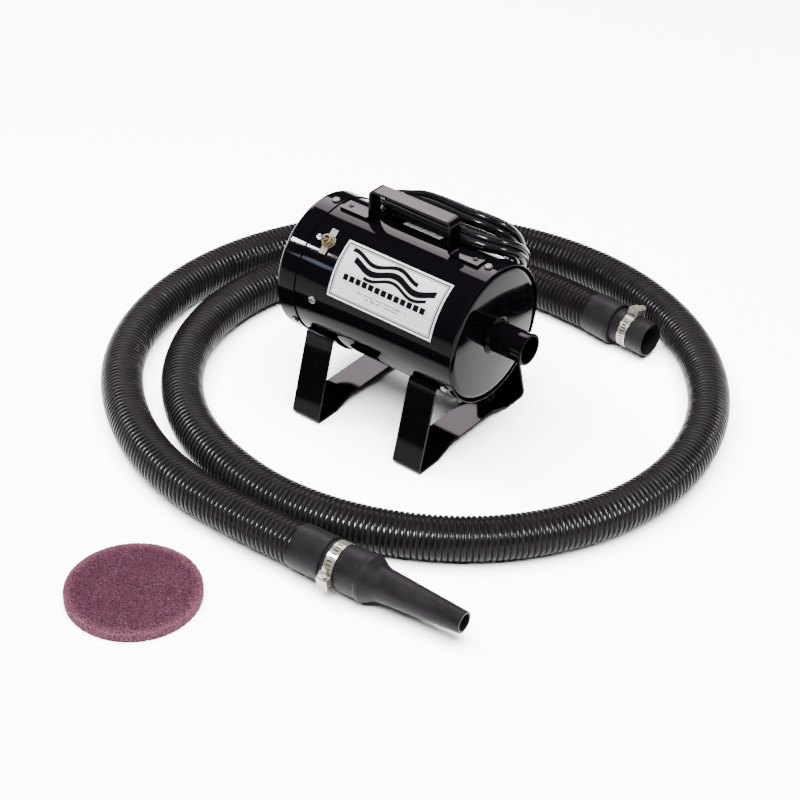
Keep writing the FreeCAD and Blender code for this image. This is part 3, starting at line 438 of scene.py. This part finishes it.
# slot: dark and light colour, roughness range, grain (features per metre, stretch), bump, metallic
METALS = {
    "dark_steel": ((0.03, 0.03, 0.033), (0.09, 0.09, 0.095), (0.3, 0.45), (60, (1, 1, 1)), 0.05, 0.6),
    "bright_screws": ((0.06, 0.06, 0.063), (0.15, 0.15, 0.156), (0.12, 0.25), (300, (1, 1, 1)), 0.05, 0.85),
    "switch_steel": ((0.05, 0.048, 0.042), (0.13, 0.125, 0.11), (0.18, 0.3), (120, (4, 1, 1)), 0.02, 0.6),
    "switch_brass": ((0.06, 0.042, 0.017), (0.15, 0.11, 0.055), (0.15, 0.3), (200, (1, 1, 1)), 0.05, 0.6),
    "switch_chrome": ((0.3, 0.3, 0.3), (0.5, 0.5, 0.5), (0.05, 0.12), (200, (1, 1, 1)), 0.02, 0.9),
    "cast_alloy": ((0.35, 0.35, 0.36), (0.62, 0.62, 0.64), (0.35, 0.55), (160, (1, 1, 1)), 0.2, 0.6),
    "core_steel": ((0.12, 0.12, 0.13), (0.3, 0.31, 0.33), (0.3, 0.5), (1400, (1, 0.1, 0.1)), 0.3, 0.6),
    "copper_wire": ((0.35, 0.13, 0.05), (0.72, 0.36, 0.18), (0.2, 0.4), (900, (0.1, 1, 1)), 0.3, 0.6),
    "bearing_steel": ((0.45, 0.45, 0.46), (0.75, 0.75, 0.77), (0.1, 0.2), (300, (1, 1, 1)), 0.05, 0.6),
    "clamp_steel": ((0.07, 0.065, 0.055), (0.24, 0.226, 0.195), (0.14, 0.28), (160, (1, 6, 6)), 0.08, 0.75),
}


def paint_cad():
    """Gives every CAD node the material of its slot."""
    made = {name: metal(name, *look) for name, look in METALS.items()}
    made.update({
        "black_enamel": enamel("black_enamel", 1.08),
        "silver_label": front_label(),
        "white_label": top_label(),
        "black_moulding": moulding(),
        "rubber_part": moulding("rubber_part", (0.005, 0.005, 0.005)),
        "carbon": moulding("carbon", (0.004, 0.004, 0.004)),
        "wire_plastic": moulding("wire_plastic", (0.003, 0.003, 0.003)),
        "hose_plastic": hose_plastic(),
        "cuff_rubber": cuff_rubber(),
        "cord_plastic": cord_plastic(),
        "foam": foam_material(),
    })
    for part in frame["record"]["subparts"]:
        obj = frame["nodes"][part["node"]]
        obj.data.materials.clear()
        obj.data.materials.append(made[part["material_slot"]])
    frame["nodes"]["front_cap"].data.materials[0] = enamel("polished_enamel", 1.105)
    return made


def in_slots(*slots):
    """CAD objects whose material slot is one of these."""
    parts = frame["record"]["subparts"]
    return [frame["nodes"][part["node"]] for part in parts if part["material_slot"] in slots]


# ---------------------------------------------------------------- cords
def nurbs(name, points):
    """Open NURBS curve through its end points."""
    data = bpy.data.curves.new(name, "CURVE")
    data.dimensions = "3D"
    data.resolution_u = 12
    spline = data.splines.new("NURBS")
    spline.points.add(len(points) - 1)
    for place, point in zip(spline.points, points):
        place.co = (*point, 1.0)
    spline.order_u = 3
    spline.use_endpoint_u = True
    return link(bpy.data.objects.new(name, data))


def centre_line(curve):
    """Points along a curve with no bevel, in order."""
    graph = bpy.context.evaluated_depsgraph_get()
    mesh = bpy.data.meshes.new_from_object(curve.evaluated_get(graph))
    points = [v.co.copy() for v in mesh.vertices]
    bpy.data.meshes.remove(mesh)
    return points


def walk(points, distances):
    """Positions and directions at increasing distances along a polyline."""
    out = []
    i = 0
    gone = 0.0
    for d in distances:
        while i < len(points) - 2 and gone + (points[i + 1] - points[i]).length < d:
            gone += (points[i + 1] - points[i]).length
            i += 1
        step = points[i + 1] - points[i]
        out.append((points[i] + step.normalized() * (d - gone), step.normalized()))
    return out


def hose_points():
    """Corners of the hose's run, from the machine cuff to the nozzle cuff."""
    points = [NOZZLE_START + level(NOZZLE_TURN) * 26.0]
    points.append(NOZZLE_START - level(NOZZLE_TURN) * 84.0 - Vector((0, 0, 1.0)))
    points += [Vector((x, y, HOSE_Z)) for x, y in HOSE_CORNERS]
    points.append(MACHINE_START - level(MACHINE_TURN) * 47.0)
    points.append(MACHINE_START + level(MACHINE_TURN) * 26.0)
    return [at(*p) for p in points[::-1]]


def make_hose(material):
    """Ribbed hose: round crests with narrow grooves, swept along the run."""
    curve = nurbs("hose_run", hose_points())
    line = centre_line(curve)
    bpy.data.objects.remove(curve)
    length = sum((b - a).length for a, b in zip(line, line[1:]))
    ribs = int(length * 1000 / RIB_PITCH)
    pitch = length / ribs
    profile = ((0.0, 1.0), (0.10, 0.70), (0.20, 0.15), (0.36, 0.02), (0.64, 0.02), (0.80, 0.15), (0.90, 0.70))
    distances = []
    radii = []
    for rib in range(ribs):
        for part, drop in profile:
            distances.append((rib + part) * pitch)
            radii.append((HOSE_R - RIB_DEPTH * drop) / 1000)
    sides = 26
    verts = []
    for (centre, ahead), radius in zip(walk(line, distances), radii):
        side = Vector((0, 0, 1)).cross(ahead).normalized()
        up = ahead.cross(side)
        for k in range(sides):
            turn = 2 * math.pi * k / sides
            verts.append(centre + (side * math.cos(turn) + up * math.sin(turn)) * radius)
    faces = []
    for r in range(len(radii) - 1):
        for k in range(sides):
            a = r * sides + k
            b = r * sides + (k + 1) % sides
            faces.append((a, b, b + sides, a + sides))
    mesh = bpy.data.meshes.new("hose")
    mesh.from_pydata(verts, [], faces)
    mesh.polygons.foreach_set("use_smooth", [True] * len(faces))
    mesh.materials.append(material)
    groove = mesh.attributes.new("groove", "FLOAT", "POINT")
    drops = [(HOSE_R - r * 1000) / RIB_DEPTH for r in radii]
    groove.data.foreach_set("value", [drop for drop in drops for _ in range(sides)])
    hose = link(bpy.data.objects.new("hose", mesh))
    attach(hose, "hose_set")
    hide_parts("hose_tube")
    on_it = ["hose_cuff_machine", "hose_sleeve", "hose_cuff_nozzle", "nozzle"]
    on_it += ["clamp_%s_%s" % (a, b) for a in ("band", "housing", "screw") for b in ("machine", "nozzle")]
    return hose


def hank_spine():
    """Closed loop of points down the middle of the bundle: lobe, front run, fold, back run."""
    front = [Vector(p) for p in HANK_FRONT]
    back = [Vector(p) for p in HANK_BACK]

    def bend(first, second, out, angles):
        middle = (first + second) / 2
        half = (first - second) / 2
        turn = [math.radians(a) for a in angles]
        return [middle + half * math.cos(a) + out * (half.length * math.sin(a)) for a in turn]

    down = (front[0] + back[0] - front[1] - back[1]).normalized()
    left = (front[-1] + back[-1] - front[-2] - back[-2]).normalized()
    points = bend(front[0], back[0], down, (90, 45))
    points += front
    points += bend(front[-1], back[-1], left, (36, 72, 108, 144))
    return points + back[::-1]


def smooth_loop(points, steps=10):
    """Catmull-Rom samples round a closed list of points."""
    out = []
    count = len(points)
    for i in range(count):
        p0, p1, p2, p3 = (points[(i + k - 1) % count] for k in range(4))
        for s in range(steps):
            t = s / steps
            out.append(0.5 * (2 * p1 + (p2 - p0) * t + (2 * p0 - 5 * p1 + 4 * p2 - p3) * t * t
                              + (3 * p1 - p0 - 3 * p2 + p3) * t * t * t))
    return out


def hank_points():
    """The cord's line through the hank: it keeps its place in a ring of strands that turns once
    every HANK_TURNS loops, so that each loop lies beside the last."""
    loop = smooth_loop(hank_spine())
    count = len(loop)
    ahead = [(loop[(i + 1) % count] - loop[i - 1]).normalized() for i in range(count)]
    ways = [ahead[0].orthogonal().normalized()]
    for i in range(1, count + 1):
        turn = ahead[i - 1].rotation_difference(ahead[i % count])
        ways.append((turn @ ways[-1]).normalized())
    miss = ways[0].cross(ways[-1]).dot(ahead[0])
    miss = math.atan2(miss, ways[0].dot(ways[-1]))
    lengths = [0.0]
    for i in range(count):
        lengths.append(lengths[-1] + (loop[(i + 1) % count] - loop[i]).length)
    ring = CORD_R * 1.02 / math.sin(math.pi / HANK_TURNS)
    first = int(count * 0.055)
    line = []
    for n in range(first, int(count * (HANK_TURNS - 0.05))):
        i = n % count
        share = lengths[i] / lengths[-1]
        angle = 2 * math.pi * (n // count + share) / HANK_TURNS - miss * share
        line.append(at(*(loop[i] + Quaternion(ahead[i], angle) @ ways[i] * ring)))
    return eased(line)


def eased(line):
    """Evenly spaced points along a line, averaged with their neighbours so that no fold is pinched."""
    length = sum((b - a).length for a, b in zip(line, line[1:]))
    count = int(length / HANK_STEP)
    points = [place for place, _ in walk(line, [length * k / count for k in range(count + 1)])]
    for _ in range(HANK_EASE):
        points[1:-1] = [(a + 2 * b + c) / 4 for a, b, c in zip(points, points[1:], points[2:])]
    return points


def make_power_cord(material):
    points = [at(*p) for p in CORD_LEAD] + hank_points() + [at(*p) for p in CORD_TAIL]
    cord = nurbs("power_cord", points)
    length = sum((b - a).length for a, b in zip(centre_line(cord), centre_line(cord)[1:]))
    cord.data.bevel_depth = CORD_R / 1000
    cord.data.bevel_resolution = 5
    cord.data.use_fill_caps = True
    cord.data.materials.append(material)
    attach(cord, "blower")
    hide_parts("cord_lead", "cord_hank", "cord_tail")
    print("power cord %.3f m" % length)
    return cord


# ---------------------------------------------------------------- foam filter
def make_filter(material):
    """Cut foam disc: slightly crowned, with torn, uneven edges and a pitted surface."""
    rings = 66
    sides = 380
    verts = []
    faces = []
    profile = [(FILTER_R * k / rings, 1.0) for k in range(1, rings + 1)]
    profile += [(FILTER_R, 1.0 - k / 10) for k in range(1, 11)]
    profile += [(FILTER_R * k / 8, 0.0) for k in range(7, 0, -1)]
    for index, (radius, height) in enumerate(profile):
        for k in range(sides):
            turn = 2 * math.pi * k / sides
            r = radius
            if radius > FILTER_R * 0.97:
                r -= 1.5 * abs(noise.noise(Vector((k * 0.61, index * 0.9, 3.1))))
            x = r * math.cos(turn)
            y = r * math.sin(turn)
            z = FILTER_T * height
            if height > 0.9:
                z -= 0.4 + 0.3 * noise.noise(Vector((x * 0.05, y * 0.05, 0.0))) + 1.3 * (radius / FILTER_R) ** 10
                z -= 0.9 * abs(noise.noise(Vector((x * 0.62, y * 0.62, 7.7))))
            verts.append(at(*(FILTER_AT + Vector((x, y, max(z, 0.0))))))
    verts.append(at(*(FILTER_AT + Vector((0, 0, FILTER_T - 0.5)))))
    verts.append(at(*FILTER_AT))
    top, under = len(verts) - 2, len(verts) - 1
    last = (len(profile) - 1) * sides
    for k in range(sides):
        n = (k + 1) % sides
        faces.append((top, k, n))
        faces.append((under, last + n, last + k))
        for ring in range(len(profile) - 1):
            a = ring * sides
            faces.append((a + k, a + sides + k, a + sides + n, a + n))
    mesh = bpy.data.meshes.new("filter_foam")
    mesh.from_pydata(verts, [], faces)
    mesh.polygons.foreach_set("use_smooth", [True] * len(faces))
    mesh.materials.append(material)
    foam = link(bpy.data.objects.new("filter_foam", mesh))
    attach(foam, "filter")
    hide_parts("foam_filter")


# ---------------------------------------------------------------- scene
def light_scene(soft_gloss, enamelled, bright):
    """Fill and key for everything, a rear panel for reflections, and boxes seen only in some pieces."""
    floor = add_plane("floor", 16, 16, at(0, 0, 0))
    floor.data.materials.append(floor_material())
    rise = math.radians(53)
    way = Vector((0, math.cos(rise), math.sin(rise)))
    panel = add_plane("rear_panel", 3.4, 1.25, at(-1250, 0, 200) + way * 2.2, (rise + math.pi / 2, 0, 0))
    panel.data.materials.append(glow("rear_panel_light", (1.0, 0.87, 0.95), 12.0))
    panel.visible_shadow = False
    panel.visible_diffuse = False
    add_wall(3.8, 6.0, glow("wall_light", (1.0, 1.0, 1.0), 9.0))
    add_light("top_fill", (0.1, -0.15, 1.0), 3.6, (4.2, 4.2), 2300, glossy=False)
    add_light("key", (-0.52, -0.16, 0.84), 2.3, (0.34, 0.34), 93, glossy=False)
    add_light("rear_box", way, 2.15, (3.4, 1.25), 500, (1.0, 0.87, 0.95), target=(-1250, 0, 200),
              only=enamelled)
    add_light("metal_box", (-0.3, -0.5, 0.8), 2.3, (0.5, 0.5), 150, only=bright)
    add_light("rear_band_strip", (-1400, -1370, 1370), 2.39, (0.10, 0.25), 170, (1.0, 0.97, 0.98),
              only=enamelled)
    add_light("switch_strip", (-1290, -1726, 879), 2.33, (0.09, 0.2), 5, (0.6, 0.78, 1.0), only=enamelled)
    add_light("left_box", (-0.95, -0.12, 0.12), 2.2, (0.35, 0.5), 60, only=enamelled)
    add_light("hose_box_left", (0.12, -0.78, 0.62), 2.2, (0.5, 0.4), 1050, only=soft_gloss)
    add_light("hose_box_right", (0.93, 0.1, 0.45), 2.2, (0.4, 0.5), 460, only=soft_gloss)
    world = bpy.data.worlds.new("studio")
    world.use_nodes = True
    world.node_tree.nodes["Background"].inputs["Color"].default_value = (0.95, 0.9, 1.0, 1)
    world.node_tree.nodes["Background"].inputs["Strength"].default_value = 0.05
    bpy.context.scene.world = world


add_camera()
materials = paint_cad()
hose = make_hose(materials["hose_plastic"])
cord = make_power_cord(materials["cord_plastic"])
make_filter(materials["foam"])
bright_slots = ("bright_screws", "clamp_steel", "switch_steel", "switch_brass", "switch_chrome")
light_scene((hose, cord), in_slots("black_enamel"), in_slots(*bright_slots))
